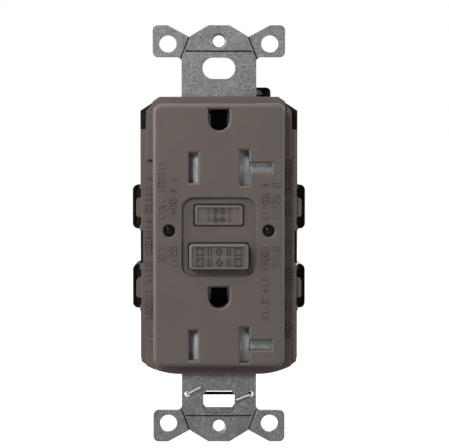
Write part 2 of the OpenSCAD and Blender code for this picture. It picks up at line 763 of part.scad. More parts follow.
// Two sprung leaves that grip an upright blade
module upright_clip(x, z, half) {
    z_range = [z - half, z + half];
    for (s = [-1, 1]) {
        translate([x + s * 0.85, 0, 0]) block([-strip / 2, strip / 2], [1.4, 8.6], z_range);
        translate([x + s * 1.0, 0, 0]) rotate([0, 0, s * 18]) block([-0.2, 0.3], [0.6, 2.0], z_range);
    }
}

// Load conductor of one side: clips of both outlets, strip, terminal bridge, fixed contact foot
module load_conductor(side) {
    x = [10.0, 10.5];
    mirror([side < 0 ? 1 : 0, 0, 0]) {
        for (z = outlets) {
            upright_clip(slot_x, z, 3.0);
            block([5.0, x[1]], clip_base, [z - 3.0, z + 3.0]);
            if (side > 0) {
                block([8.4, 13.2], clip_base, [z - 1.6, z + 1.6]);
                for (s = [-1, 1]) translate([0, 0, z + s * 0.85])
                    block([8.4, 13.2], [1.4, 8.6], [-strip / 2, strip / 2]);
            }
        }
        block(x, [5.6, clip_base[1]], [bottom_z + 2.0, top_z - 3.0]);
        block(x, [3.0, 8.9], [load_z - 1.9, load_z + 1.9]);
        block([x[0], tail_x[1]], [3.0, 3.8], [load_z - 1.9, load_z + 1.9]);
        block(tail_x, [3.0, 7.2], [load_z - 1.9, load_z + 1.9]);
        block(x, [8.8, 12.2], [-8.4, -5.4]);
        block([7.4, x[1]], [11.8, 12.2], [-8.4, -5.4]);
        ycyl(1.2, [12.2, 12.6], 8.6, -6.9);
    }
}
module load_hot_contact() color(brass) load_conductor(-1);
module load_neutral_contact() color(steel) load_conductor(1);

// Line conductor: terminal tail, riser, pass through the sense cores, sprung contact arm
module line_conductor(side) mirror([side < 0 ? 1 : 0, 0, 0]) {
    riser = [8.2, 9.0];
    through = [0.7, 1.9];
    y = [core_y - 0.4, core_y + 0.4];
    block(tail_x, [3.0, 7.2], [line_z - 1.9, line_z + 1.9]);
    block([riser[0], tail_x[1]], [3.0, 3.8], [line_z - 1.9, line_z + 1.9]);
    block(riser, [3.0, 12.0], [line_z - 1.9, line_z + 1.9]);
    block([5.4, riser[1]], [11.4, 12.0], [line_z - 1.9, 26.2]);
    block([5.4, 6.0], [11.4, y[1]], [25.3, 26.2]);
    block([through[0], 6.0], y, [25.3, 26.2]);
    block(through, y, [11.5, 26.2]);
    block([through[0], 5.8], y, [10.3, 11.5]);
    block([5.0, 5.8], [13.6, y[1]], [10.3, 11.5]);
    block([5.0, 7.6], [13.6, 14.0], [10.3, 11.5]);
    block([7.2, 10.2], [13.6, 14.0], [-8.6, 11.5]);
    ycyl(1.2, [13.2, 13.7], 8.6, -6.9);
}
module line_hot_conductor() color(brass) line_conductor(-1);
module line_neutral_conductor() color(steel) line_conductor(1);

// Plates that the terminal screws pull the wires against
module terminal_plates() color(brass) for (z = [line_z, load_z]) difference() {
    block_pair(tail_x, [7.2, 16.6], [z - 4.3, z + 4.3]);
    xcyl(2.4, [-18, 18], terminal_y, z);
}

module terminal_screw(side, z) side_screw(side, terminal_y, z, [13.0, 18.6], [18.2, 20.4], 3.9);
module line_hot_screw() color(brass) terminal_screw(-1, line_z);
module line_neutral_screw() color(steel) terminal_screw(1, line_z);
module load_hot_screw() color(brass) terminal_screw(-1, load_z);
module load_neutral_screw() color(steel) terminal_screw(1, load_z);

module clamp(side, z) color(steel) mirror([side < 0 ? 1 : 0, 0, 0]) difference() {
    block([14.2, 15.6], [7.6, 16.4], [z - 4.2, z + 4.2]);
    xcyl(shank_r + 0.08, [13, 17], terminal_y, z);
}
module line_hot_clamp() clamp(-1, line_z);
module line_neutral_clamp() clamp(1, line_z);
module load_hot_clamp() clamp(-1, load_z);
module load_neutral_clamp() clamp(1, load_z);

// ---- shutters ------------------------------------------------------------------------------

ramp_low = -2.9;

// Wedge-shaped slider in X and Y; the blade pushes it towards the high side
module wedge(low, high, body) polygon([
    [low, shutter_back], [low, ramp_low], [high, shutter_front], [body, shutter_front],
    [body, shutter_back]]);

module hot_shutter(z) color(plastic_grey)
    along_z([z - 3.95, z + 3.95]) wedge(-7.6, -4.95, -3.9);
module neutral_shutter(z) color(plastic_grey)
    along_z([z - 4.38, z + 4.4]) wedge(7.6, 4.9, 3.9);
module arm_shutter(z) color(plastic_grey)
    along_x([7.75, 13.3]) translate([0, z]) polygon([
        [shutter_back, -1.3], [-4.0, -1.3], [shutter_front, 1.3], [shutter_front, 2.3],
        [shutter_back, 2.3]]);

module hot_shutter_top() hot_shutter(top_z);
module hot_shutter_bottom() hot_shutter(bottom_z);
module neutral_shutter_top() neutral_shutter(top_z);
module neutral_shutter_bottom() neutral_shutter(bottom_z);
module arm_shutter_top() arm_shutter(top_z);
module arm_shutter_bottom() arm_shutter(bottom_z);

// Plate behind the shutters with the blades' ways through and the springs' stops
module shutter_base(z) color("#b9b9bb") {
    y = [shutter_back + 0.1, strap_front - 0.05];
    difference() {
        block([-14.6, 13.6], y, [z - 4.45, z + 8.2]);
        block([-7.6, -5.0], [-3, 0], [z - 4, z + 4]);
        block([5.0, 7.6], [-3, 0], [z - 4.5, z + 4.4]);
        block([7.5, 13.2], [-3, 0], [z - 1.4, z + 1.4]);
        block([-5.1, 5.1], [-3, 0], [z + 6.2, z + 9]);
        block_pair([11.3, 15], [-3, 0], [z + 4.6, z + 9]);
    }
    stop_y = [shutter_front, y[1]];
    block([-8.3, -7.7], stop_y, [z - 2.5, z + 2.5]);
    block([7.75, 8.4], stop_y, [z - 4.3, z - 2.2]);
    block([9.5, 11.2], stop_y, [z + 7.6, z + 8.2]);
}
module shutter_base_top() shutter_base(top_z);
module shutter_base_bottom() shutter_base(bottom_z);

// Folded leaf spring along X from 0 to length
module folded_leaf(length, folds) {
    thick = 0.35;
    reach = 0.75;
    pitch = length / folds;
    along_y([-4.4, -2.6]) polygon(concat(
        [for (i = [0 : folds]) [i * pitch, (i % 2 ? 1 : -1) * reach - thick / 2]],
        [for (i = [folds : -1 : 0]) [i * pitch, (i % 2 ? 1 : -1) * reach + thick / 2]]));
}

module shutter_springs() color(steel) for (z = outlets) {
    translate([-3.85, 0, z]) folded_leaf(7.7, 8);
    translate([10.4, 0, z + 2.35]) rotate([0, -90, 0]) folded_leaf(5.2, 5);
}

front_cover();
mounting_strap();
self_earthing_wire();
middle_housing();
rear_housing();
assembly_screws();
earth_contact_top();
earth_contact_bottom();
earth_guides();
earth_rivets();
earth_screw();
test_button();
reset_button();
reset_pin();
reset_spring();
test_leaf();
lifter();
latch_slide();
solenoid_frame();
solenoid_bobbin();
solenoid_coil();
solenoid_plunger();
plunger_spring();
circuit_board();
sense_core_front();
sense_core_rear();
core_case();
film_capacitor();
varistor();
control_chip();
thyristor();
resistors();
indicator_lamps();
indicator_lenses();
load_hot_contact();
load_neutral_contact();
line_hot_conductor();
line_neutral_conductor();
line_hot_screw();
line_neutral_screw();
load_hot_screw();
load_neutral_screw();
line_hot_clamp();
line_neutral_clamp();
load_hot_clamp();
load_neutral_clamp();
terminal_plates();
shutter_base_top();
shutter_base_bottom();
hot_shutter_top();
hot_shutter_bottom();
neutral_shutter_top();
neutral_shutter_bottom();
arm_shutter_top();
arm_shutter_bottom();
shutter_springs();
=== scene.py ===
"""Looks for the earth-fault outlet: materials, moulded marks, earthing wire, studio."""
import json
import math
import random

import bmesh
import bpy
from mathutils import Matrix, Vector


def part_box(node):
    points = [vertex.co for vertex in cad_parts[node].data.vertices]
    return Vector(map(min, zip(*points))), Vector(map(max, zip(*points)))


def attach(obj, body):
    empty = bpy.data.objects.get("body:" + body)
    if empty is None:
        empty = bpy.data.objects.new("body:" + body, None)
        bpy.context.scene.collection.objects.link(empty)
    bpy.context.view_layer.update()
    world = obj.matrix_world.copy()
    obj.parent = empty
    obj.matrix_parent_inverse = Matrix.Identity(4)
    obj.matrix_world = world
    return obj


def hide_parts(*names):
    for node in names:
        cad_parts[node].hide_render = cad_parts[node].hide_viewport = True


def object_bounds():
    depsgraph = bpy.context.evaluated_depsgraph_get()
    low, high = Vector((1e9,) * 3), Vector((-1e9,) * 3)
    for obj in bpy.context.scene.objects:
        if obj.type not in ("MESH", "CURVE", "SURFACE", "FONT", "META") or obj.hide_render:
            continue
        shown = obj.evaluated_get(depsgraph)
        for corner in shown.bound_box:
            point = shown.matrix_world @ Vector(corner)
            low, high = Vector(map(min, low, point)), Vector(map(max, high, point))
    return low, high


MM = 0.001
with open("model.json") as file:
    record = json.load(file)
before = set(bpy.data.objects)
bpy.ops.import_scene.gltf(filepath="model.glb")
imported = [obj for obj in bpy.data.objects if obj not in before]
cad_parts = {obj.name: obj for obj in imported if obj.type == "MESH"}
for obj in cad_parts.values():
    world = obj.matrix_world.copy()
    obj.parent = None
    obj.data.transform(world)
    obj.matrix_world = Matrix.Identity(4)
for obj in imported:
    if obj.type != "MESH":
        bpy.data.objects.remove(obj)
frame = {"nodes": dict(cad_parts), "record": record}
cad_low, cad_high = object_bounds()
NODES = frame["nodes"]
BODY_OF = {
    node: body
    for body, nodes in frame["record"]["behaviour"]["bodies"].items()
    for node in nodes
}


# ---- node helpers ---------------------------------------------------------------------------

class Surface:
    """A Principled material whose textures run in object space, in metres."""

    def __init__(self, name, roughness=0.5, metallic=0.0, edge=0.12 * MM, **sockets):
        self.material = bpy.data.materials.new(name)
        self.material.use_nodes = True
        self.nodes = self.material.node_tree.nodes
        self.links = self.material.node_tree.links
        self.shader = self.nodes["Principled BSDF"]
        self.shader.inputs["Roughness"].default_value = roughness
        self.shader.inputs["Metallic"].default_value = metallic
        for socket, value in sockets.items():
            self.shader.inputs[socket.replace("_", " ")].default_value = value
        self.coordinates = self.nodes.new("ShaderNodeTexCoord").outputs["Object"]
        rounding = self.nodes.new("ShaderNodeBevel")
        rounding.samples = 6
        rounding.inputs["Radius"].default_value = edge
        self.normal = rounding.outputs["Normal"]
        self.links.new(self.normal, self.shader.inputs["Normal"])

    def stretched(self, scale):
        """Object coordinates scaled differently along X, Y and Z."""
        mapping = self.nodes.new("ShaderNodeMapping")
        mapping.inputs["Scale"].default_value = scale
        self.links.new(self.coordinates, mapping.inputs["Vector"])
        return mapping.outputs["Vector"]

    def noise(self, size, detail=4.0, roughness=0.55, vector=None):
        """Noise whose blobs are about size metres across."""
        node = self.nodes.new("ShaderNodeTexNoise")
        node.inputs["Scale"].default_value = 1.0 / size
        node.inputs["Detail"].default_value = detail
        node.inputs["Roughness"].default_value = roughness
        self.links.new(vector or self.coordinates, node.inputs["Vector"])
        return node.outputs["Fac"]

    def cells(self, size, output="Color"):
        """Voronoi cells about size metres across."""
        node = self.nodes.new("ShaderNodeTexVoronoi")
        node.inputs["Scale"].default_value = 1.0 / size
        self.links.new(self.coordinates, node.inputs["Vector"])
        return node.outputs[output]

    def bands(self, size, axis):
        """Parallel bands with the given spacing in metres."""
        node = self.nodes.new("ShaderNodeTexWave")
        node.bands_direction = axis
        node.inputs["Scale"].default_value = 0.314 / size
        self.links.new(self.coordinates, node.inputs["Vector"])
        return node.outputs["Fac"]

    def painted_shade_mask(self, reach):
        """0 deep in a gap or groove about reach metres wide, 1 in the open: the mask for painted shade in
        gaps and grooves.
        """
        node = self.nodes.new("ShaderNodeAmbientOcclusion")
        node.inputs["Distance"].default_value = reach
        node.samples = 8
        node = self.remap(node.outputs["AO"], 0.12, 0.72, 0, 1).node
        node.interpolation_type = "SMOOTHSTEP"
        return node.outputs["Result"]

    def grey(self, socket):
        """The brightness of a colour."""
        node = self.nodes.new("ShaderNodeRGBToBW")
        self.links.new(socket, node.inputs["Color"])
        return node.outputs["Val"]

    def remap(self, socket, low, high, new_low, new_high):
        """Stretches the range low..high to new_low..new_high, and clamps what is outside it."""
        node = self.nodes.new("ShaderNodeMapRange")
        ends = {"From Min": low, "From Max": high, "To Min": new_low, "To Max": new_high}
        for key, value in ends.items():
            node.inputs[key].default_value = value
        self.links.new(socket, node.inputs["Value"])
        return node.outputs["Result"]

    def blend(self, factor, first, second):
        """Colour mix; first and second are colours or sockets."""
        node = self.nodes.new("ShaderNodeMix")
        node.data_type = "RGBA"
        self.links.new(factor, node.inputs["Factor"])
        for key, value in (("A", first), ("B", second)):
            socket = next(s for s in node.inputs if s.name == key and s.type == "RGBA")
            if isinstance(value, tuple):
                socket.default_value = (*value, 1.0)
            else:
                self.links.new(value, socket)
        return next(s for s in node.outputs if s.type == "RGBA")

    def colour(self, socket):
        """Drives the base colour."""
        self.links.new(socket, self.shader.inputs["Base Color"])

    def rough(self, socket):
        """Drives the roughness."""
        self.links.new(socket, self.shader.inputs["Roughness"])

    def bump(self, height, depth, strength=1.0):
        """Adds relief of about depth metres on top of any earlier relief."""
        node = self.nodes.new("ShaderNodeBump")
        node.inputs["Distance"].default_value = depth
        node.inputs["Strength"].default_value = strength
        self.links.new(height, node.inputs["Height"])
        self.links.new(self.normal, node.inputs["Normal"])
        self.normal = node.outputs["Normal"]
        self.links.new(self.normal, self.shader.inputs["Normal"])


def srgb(r, g, b):
    """Linear colour from an 8-bit display colour."""
    return tuple(
        c / 12.92 if c <= 0.04045 else ((c + 0.055) / 1.055) ** 2.4
        for c in (r / 255, g / 255, b / 255)
    )


def shade(colour, factor):
    """The colour made lighter or darker by a factor."""
    return tuple(min(1.0, c * factor) for c in colour)


# ---- materials ------------------------------------------------------------------------------

def moulded_plastic(name, colour, roughness=0.42, grain=6e-6, mottle=0.06, reach=0.9 * MM, **sockets):
    """Moulded thermoplastic: fine spark-eroded grain, faint flow mottling, handling marks, and painted shade
    in gaps and grooves.
    """
    s = Surface(name, roughness, **sockets)
    flow = s.noise(9 * MM, 3)
    fine = s.noise(0.35 * MM, 5, 0.6)
    base = s.blend(s.remap(flow, 0.3, 0.7, 0, 1), shade(colour, 1 - mottle), shade(colour, 1 + mottle))
    specks = s.remap(s.noise(0.16 * MM, 2), 0.62, 0.74, 0, 0.35)
    base = s.blend(specks, base, shade(colour, 0.82))
    # painted shade: the colour darkens to a tenth in gaps and grooves within reach
    if reach:
        base = s.blend(s.painted_shade_mask(reach), shade(colour, 0.1), base)
    s.colour(base)
    s.rough(s.remap(s.noise(2.2 * MM, 4), 0.3, 0.7, roughness - 0.05, roughness + 0.06))
    s.bump(fine, grain)
    s.bump(s.noise(1.6 * MM, 2), grain * 1.5)
    return s.material


def galvanised(name):
    """Hot-dip galvanised sheet: small spangles, dark pinholes, rolling streaks, and painted shade in grooves
    and close to the cover.
    """
    s = Surface(name, 0.45, 0.7)
    spangle = s.grey(s.cells(0.5 * MM))
    cloudy = s.noise(3 * MM, 4, 0.6)
    speckle = s.noise(0.3 * MM, 3, 0.65)
    light, dark = srgb(166, 166, 167), srgb(144, 144, 146)
    base = s.blend(s.remap(cloudy, 0.35, 0.65, 0, 1), dark, light)
    base = s.blend(s.remap(spangle, 0.2, 0.8, 0.0, 0.22), base, srgb(186, 187, 189))
    base = s.blend(s.remap(speckle, 0.54, 0.66, 0, 0.8), base, srgb(66, 66, 68))
    pits = s.noise(0.6 * MM, 5, 0.75)
    base = s.blend(s.remap(pits, 0.53, 0.62, 0, 0.75), base, srgb(72, 72, 74))
    flecks = s.noise(0.9 * MM, 2, 0.6)
    base = s.blend(s.remap(flecks, 0.6, 0.68, 0, 0.5), base, srgb(205, 205, 207))
    # painted shade: near black in the scored grooves and on the strap close to the cover, where the cover
    # shades it
    s.colour(s.blend(s.painted_shade_mask(2.4 * MM), srgb(24, 24, 26), base))
    s.rough(s.remap(s.noise(0.8 * MM, 4), 0.3, 0.7, 0.36, 0.58))
    s.bump(speckle, 12e-6, 0.8)
    s.bump(s.noise(0.25 * MM, 2, 0.5, s.stretched((1, 1, 0.15))), 5e-6)
    return s.material


def metal(name, colour, roughness=0.3, tarnish=0.25, streak_axis=None):
    """Plated or bare metal with tarnish clouds, fine drawing or machining lines, and painted shade in gaps
    and grooves.
    """
    s = Surface(name, roughness, 1.0)
    clouds = s.noise(3 * MM, 5, 0.6)
    base = s.blend(s.remap(clouds, 0.42, 0.72, 0, tarnish * 2), colour, shade(colour, 0.55))
    # painted shade: darker in gaps and grooves
    s.colour(s.blend(s.painted_shade_mask(0.8 * MM), shade(colour, 0.2), base))
    s.rough(s.remap(s.noise(0.7 * MM, 4), 0.3, 0.7, roughness - 0.07, roughness + 0.12))
    scale = {"X": (0.1, 1, 1), "Y": (1, 0.1, 1), "Z": (1, 1, 0.1)}.get(streak_axis, (1, 1, 1))
    s.bump(s.noise(0.12 * MM, 2, 0.5, s.stretched(scale)), 3e-6)
    return s.material


def wound_copper(name):
    """Enamelled wire wound in layers round the Z axis."""
    s = Surface(name, 0.28, 1.0, Coat_Weight=0.6, Coat_Roughness=0.12)
    turns = s.bands(0.22 * MM, "Z")
    # painted shade and highlight: the colour runs dark to light across each turn, in step with its relief
    s.colour(s.blend(turns, srgb(92, 44, 22), srgb(196, 112, 62)))
    s.bump(turns, 60e-6)
    return s.material


def clear_lens(name):
    """Dark smoked red-brown lens with a polished front."""
    s = Surface(name, 0.12, Coat_Weight=0.35, Coat_Roughness=0.05, Specular_IOR_Level=0.3)
    depth = s.noise(1.5 * MM, 2)
    s.colour(s.blend(s.remap(depth, 0.3, 0.7, 0, 1), srgb(18, 10, 9), srgb(40, 20, 16)))
    s.bump(s.noise(0.9 * MM, 2), 3e-6)
    return s.material


def milky_plastic(name, colour, roughness=0.16):
    """Glossy, slightly translucent shutter plastic with flow lines."""
    s = Surface(name, roughness, Coat_Weight=0.4, Coat_Roughness=0.08, Subsurface_Weight=0.15)
    s.shader.inputs["Subsurface Scale"].default_value = 0.6 * MM
    s.shader.inputs["Subsurface Radius"].default_value = (1.0, 0.95, 0.9)
    flow = s.noise(1.1 * MM, 4, 0.6, s.stretched((1, 1, 0.35)))
    s.colour(s.blend(s.remap(flow, 0.35, 0.65, 0, 1), shade(colour, 0.8), shade(colour, 1.15)))
    s.bump(flow, 14e-6)
    return s.material


def board(name):
    """Green solder mask over copper tracks."""
    s = Surface(name, 0.32, Coat_Weight=0.5, Coat_Roughness=0.15)
    tracks = s.remap(s.cells(3.2 * MM, "Distance"), 0.42, 0.47, 0, 1)
    s.colour(s.blend(tracks, srgb(22, 88, 48), srgb(34, 116, 62)))
    s.bump(tracks, 20e-6)
    return s.material


BROWN = srgb(108, 98, 92)
finishes = {
    "cover": moulded_plastic("moulded_brown", BROWN, 0.42, 7e-6, 0.045, edge=0.36 * MM),
    # marks: a lighter copy of the brown, painted highlight standing for light on the raised strokes
    "marks": moulded_plastic(
        "moulded_brown_marks_painted_highlight", shade(BROWN, 1.22), 0.34, 3e-6, 0.03, None, edge=0.06 * MM),
    # button_marks: a darker copy of the button brown, painted shade standing for shadow round the strokes
    "button_marks": moulded_plastic(
        "moulded_button_marks_painted_shade", srgb(92, 83, 78), 0.34, 3e-6, 0.03, None, edge=0.06 * MM),
    "button": moulded_plastic("moulded_brown_buttons", srgb(118, 108, 102), 0.36, 4e-6, 0.04, edge=0.22 * MM),
    "black_plastic": moulded_plastic(
        "moulded_black", srgb(12, 12, 13), 0.42, 8e-6, 0.15, edge=0.2 * MM, Specular_IOR_Level=0.3),
    "carrier_plastic": moulded_plastic("moulded_charcoal", srgb(26, 26, 27), 0.5, 8e-6, 0.12),
    "chip": moulded_plastic("moulded_package", srgb(34, 34, 36), 0.55, 6e-6, 0.1),
    "bobbin": moulded_plastic("natural_nylon", srgb(222, 214, 194), 0.4, 5e-6, 0.05),
    "shutter_base": moulded_plastic("grey_acetal", srgb(170, 170, 172), 0.35, 4e-6, 0.05),
    "capacitor": moulded_plastic("yellow_epoxy", srgb(204, 160, 44), 0.3, 8e-6, 0.08),
    "varistor": moulded_plastic("blue_epoxy", srgb(44, 98, 160), 0.28, 12e-6, 0.1),
    "resistor": moulded_plastic("beige_lacquer", srgb(190, 168, 132), 0.35, 8e-6, 0.08),
    "ferrite": moulded_plastic("sintered_core", srgb(66, 58, 54), 0.6, 14e-6, 0.15),
    "lamp": milky_plastic("lamp_epoxy", srgb(214, 214, 204), 0.12),
    "shutter": milky_plastic("shutter_plastic", srgb(214, 218, 220)),
    "lens": clear_lens("smoked_lens"),
    "galvanised": galvanised("galvanised_sheet"),
    "steel": metal("zinc_plated_steel", srgb(176, 178, 182), 0.3, 0.2),
    "spring_steel": metal("drawn_wire", srgb(186, 186, 188), 0.26, 0.15),
    # stamped: lighter than the galvanised strap, painted highlight on the stamped signs and the rolled lip
    "stamped": metal("stamped_zinc_painted_highlight", srgb(190, 190, 192), 0.44, 0.2),
    "wire": metal("tinned_wire", srgb(206, 206, 208), 0.42, 0.15),
    # painted shadow: near-black copy of the wire for the legs behind the strap, where the strap shades them
    "wire_back_painted_shadow": metal("wire_painted_shadow", srgb(24, 23, 23), 0.5, 0.3),
    "green_screw": metal("green_passivate", srgb(70, 128, 82), 0.3, 0.25),
    "brass": metal("rolled_brass", srgb(206, 170, 96), 0.28, 0.3, "Z"),
    "nickel": metal("nickel_plate", srgb(192, 188, 178), 0.26, 0.2, "Z"),
    "copper": wound_copper("winding"),
    "board": board("solder_mask"),
}
slot_of = {p["node"]: p["material_slot"] for p in frame["record"]["subparts"]}


def finish_mesh(mesh, material):
    """Gives a mesh one finish; clearing an empty list would still reset its faces' indices."""
    if len(mesh.materials):
        mesh.materials.clear()
    mesh.materials.append(material)


for node, obj in NODES.items():
    for index in range(len(obj.material_slots)):
        obj.material_slots[index].material = finishes[slot_of[node]]


# ---- pieces and softened copies of CAD parts ------------------------------------------------

def linked(name, mesh, body, slot, finish=None):
    """A new piece that rides on a body and takes its finish from a slot."""
    piece = bpy.data.objects.new(name, mesh)
    bpy.context.collection.objects.link(piece)
    finish_mesh(mesh, finishes[finish or slot])
    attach(piece, body)
    return piece


def softened(node, width, segments=2, angle=32.0):
    """A copy of a CAD node with its sharp edges rounded; it stands for that node."""
    mesh = NODES[node].data.copy()
    piece = linked(node + "_edged", mesh, BODY_OF[node], slot_of[node])
    bm = bmesh.new()
    bm.from_mesh(mesh)
    bmesh.ops.remove_doubles(bm, verts=bm.verts, dist=2e-6)
    bmesh.ops.dissolve_limit(bm, angle_limit=math.radians(0.8), verts=bm.verts, edges=bm.edges)
    bm.to_mesh(mesh)
    bm.free()
    mesh.shade_smooth()
    mesh.set_sharp_from_angle(angle=math.radians(angle))
    bevel = piece.modifiers.new("edges", "BEVEL")
    bevel.width = width * MM
    bevel.segments = segments
    bevel.limit_method = "ANGLE"
    bevel.angle_limit = math.radians(angle)
    bevel.use_clamp_overlap = True
    bevel.harden_normals = True
    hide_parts(node)
    return piece


softened("indicator_lenses", 0.15)


# ---- moulded marks and other fine detail ----------------------------------------------------

def stroke(bm, start, end, width, front, relief):
    """A raised bar with sloping sides between two points (x, z) on a face at y = front, in mm."""
    a, b = Vector((start[0], 0, start[1])), Vector((end[0], 0, end[1]))
    along = (b - a).normalized()
    side = Vector((along.z, 0, -along.x))
    foot = front + 0.02
    rings = []
    for y, half in ((foot, width / 2), (front - relief, width / 4)):
        rings.append([
            bm.verts.new((p + along * shift * half + side * turn * half) * MM + Vector((0, y * MM, 0)))
            for p, shift, turn in ((a, -1, -1), (a, -1, 1), (b, 1, 1), (b, 1, -1))
        ])
    low, high = rings
    bm.faces.new(low)
    bm.faces.new(reversed(high))
    for k in range(4):
        m = (k + 1) % 4
        bm.faces.new((low[m], low[k], high[k], high[m]))


def marks(name, body, slot, strokes, finish="marks"):
    """One piece made of many raised strokes."""
    bm = bmesh.new()
    for line in strokes:
        stroke(bm, *line)
    bmesh.ops.recalc_face_normals(bm, faces=bm.faces)
    mesh = bpy.data.meshes.new(name)
    bm.to_mesh(mesh)
    bm.free()
    return linked(name, mesh, body, slot, finish)


def symbol(kind, tall, wide):
    """Strokes of one plain sign, centred on the origin: (start, end) pairs in mm."""
    h, w = tall / 2, wide / 2
    return {
        "bar": [((0, -h), (0, h))],
        "short": [((0, -h), (0, 0))],
        "pair": [((-w / 2, -h), (-w / 2, h)), ((w / 2, -h), (w / 2, h))],
        "dashes": [((-w, h * 0.75), (w, h * 0.75)), ((-w, -h * 0.75), (w, -h * 0.75))],
        "box": [((-w, -h), (-w, h)), ((-w, h), (w, h)), ((w, h), (w, -h)), ((w, -h), (-w, -h))],
        "rungs": [((-w, h), (w, h)), ((-w, 0), (w, 0)), ((-w, -h), (w, -h))],
        "diamond": [((-w, 0), (0, h)), ((0, h), (w, 0)), ((w, 0), (0, -h)), ((0, -h), (-w, 0))],
    }[kind]


def sign_column(start, stop, across, front, seed, tall=1.5, pitch=1.35, line=(0.36, 0.24)):
    """A column of plain signs at X = across, from Z = start to stop, with spaces here and there.

    line is the width and the relief of a stroke, in mm.
    """
    draw = random.Random(seed)
    kinds = ("bar", "pair", "box", "rungs", "dashes", "diamond", "box", "short")
    strokes, at, word = [], start + pitch / 2, draw.randint(3, 6)
    while at + pitch / 2 <= stop + 1e-6:
        if word == 0:
            word = draw.randint(3, 7)
        else:
            for ends in symbol(draw.choice(kinds), tall, pitch * 0.56):
                moved = [(across - b, at + a) for a, b in ends]
                strokes.append((*moved, line[0], front, line[1]))
            word -= 1
        at += pitch
    return strokes


face_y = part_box("front_cover")[0].y / MM
shoulder_y = -1.6
# X of each column, the stretches of Z that it fills, and the Y of the surface under it, in mm
columns = [
    (-14.3, [(-6.4, -1.6), (3.9, 20.5)], face_y),
    (-11.45, [(-7.9, -1.6), (3.9, 15.4)], face_y),
    (11.4, [(-20.9, -1.6), (3.9, 13.4)], face_y),
    (14.1, [(-7.9, -1.6), (3.9, 14.6)], face_y),
    (-17.75, [(-21.5, 15.8)], shoulder_y),
    (17.75, [(-25.3, 18.6)], shoulder_y),
]
face_marks = []
for k, (x, spans, surface_y) in enumerate(columns):
    for j, (start, stop) in enumerate(spans):
        face_marks += sign_column(start, stop, x, surface_y, 11 * k + j)
marks("face_marks", "device", "cover", face_marks)


def sign_pair(button, kinds, pitch, tall, wide, apart, line, tray=0.25):
    """Two rows of signs on a button tray mm below its front, the lower row upside down."""
    low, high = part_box(button)
    middle = (low.z + high.z) / 2 / MM
    strokes = []
    for turn in (1, -1):
        for k, kind in enumerate(kinds):
            x = (k - (len(kinds) - 1) / 2) * pitch
            for ends in symbol(kind, tall, wide):
                moved = [(turn * (x + a), middle + turn * (apart / 2 + b)) for a, b in ends]
                strokes.append((*moved, line[0], low.y / MM + tray, line[1]))
    marks(button + "_marks", BODY_OF[button], "button", strokes, "button_marks")


sign_pair(
    "test_button", ("bar", "diamond", "diamond", "bar"),
    pitch=1.75, tall=1.35, wide=1.1, apart=2.1, line=(0.3, 0.22))
sign_pair(
    "reset_button", ("box", "pair", "diamond", "pair", "box"),
    pitch=2.35, tall=1.7, wide=1.5, apart=2.6, line=(0.36, 0.22))


# ---- stamped signs on the strap -------------------------------------------------------------

strap_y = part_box("mounting_strap")[0].y / MM
STAMP_WIDTH, STAMP_RELIEF = 0.26, 0.09
STAMP = (STAMP_WIDTH, STAMP_RELIEF)
stamped = sign_column(37.0, 44.3, -6.0, strap_y, 71, 1.9, 1.5, STAMP)
stamped += sign_column(36.2, 39.8, 7.2, strap_y, 72, 2.6, 1.7, STAMP)
stamped += [((5.9, z), (8.1, z), STAMP_WIDTH, strap_y, STAMP_RELIEF) for z in (41.2, 42.4, 43.6)]
# painted highlight: the signs take the lighter stamped finish
marks("strap_marks", "device", "galvanised", stamped, "stamped")


# ---- self-earthing wire ---------------------------------------------------------------------

def smooth_path(corners, cut, steps=5):
    """The corner points with each corner rounded off, in mm."""
    path = [Vector(corners[0])]
    for before, corner, after in zip(corners, corners[1:], corners[2:]):
        corner = Vector(corner)
        into, out = Vector(before) - corner, Vector(after) - corner
        a = corner + into.normalized() * min(cut, into.length * 0.45)
        b = corner + out.normalized() * min(cut, out.length * 0.45)
        for k in range(steps + 1):
            t = k / steps
            path.append(a * (1 - t) ** 2 + corner * 2 * t * (1 - t) + b * t ** 2)
    path.append(Vector(corners[-1]))
    return path


def resampled(path, step):
    """Points about step apart along the path."""
    points = [path[0]]
    for a, b in zip(path, path[1:]):
        count = max(1, round((b - a).length / step))
        points += [a.lerp(b, (k + 1) / count) for k in range(count)]
    return points


def swept_tube(name, path, radius, body, slot, materials, choose, sides=14):
    """A closed tube along path; radius(travel, angle) and choose(point) give its size and finish."""
    bm = bmesh.new()
    normal = Vector((0, 0, 1))
    rings, travel = [], 0.0
    for k, point in enumerate(path):
        ahead = path[min(k + 1, len(path) - 1)] - path[max(k - 1, 0)]
        tangent = ahead.normalized()
        normal = (normal - tangent * normal.dot(tangent)).normalized()
        other = tangent.cross(normal)
        if k:
            travel += (point - path[k - 1]).length
        rings.append([
            bm.verts.new((point + (normal * math.cos(a) + other * math.sin(a)) * radius(travel, a)) * MM)
            for a in (math.tau * j / sides for j in range(sides))
        ])
    for k, (near, far) in enumerate(zip(rings, rings[1:])):
        for j in range(sides):
            m = (j + 1) % sides
            face = bm.faces.new((near[j], near[m], far[m], far[j]))
            face.material_index = choose(path[k])
            face.smooth = True
    bm.faces.new(reversed(rings[0]))
    bm.faces.new(rings[-1])
    bmesh.ops.recalc_face_normals(bm, faces=bm.faces)
    mesh = bpy.data.meshes.new(name)
    bm.to_mesh(mesh)
    bm.free()
    piece = linked(name, mesh, body, slot, materials[0])
    for extra in materials[1:]:
        mesh.materials.append(finishes[extra])
    return piece


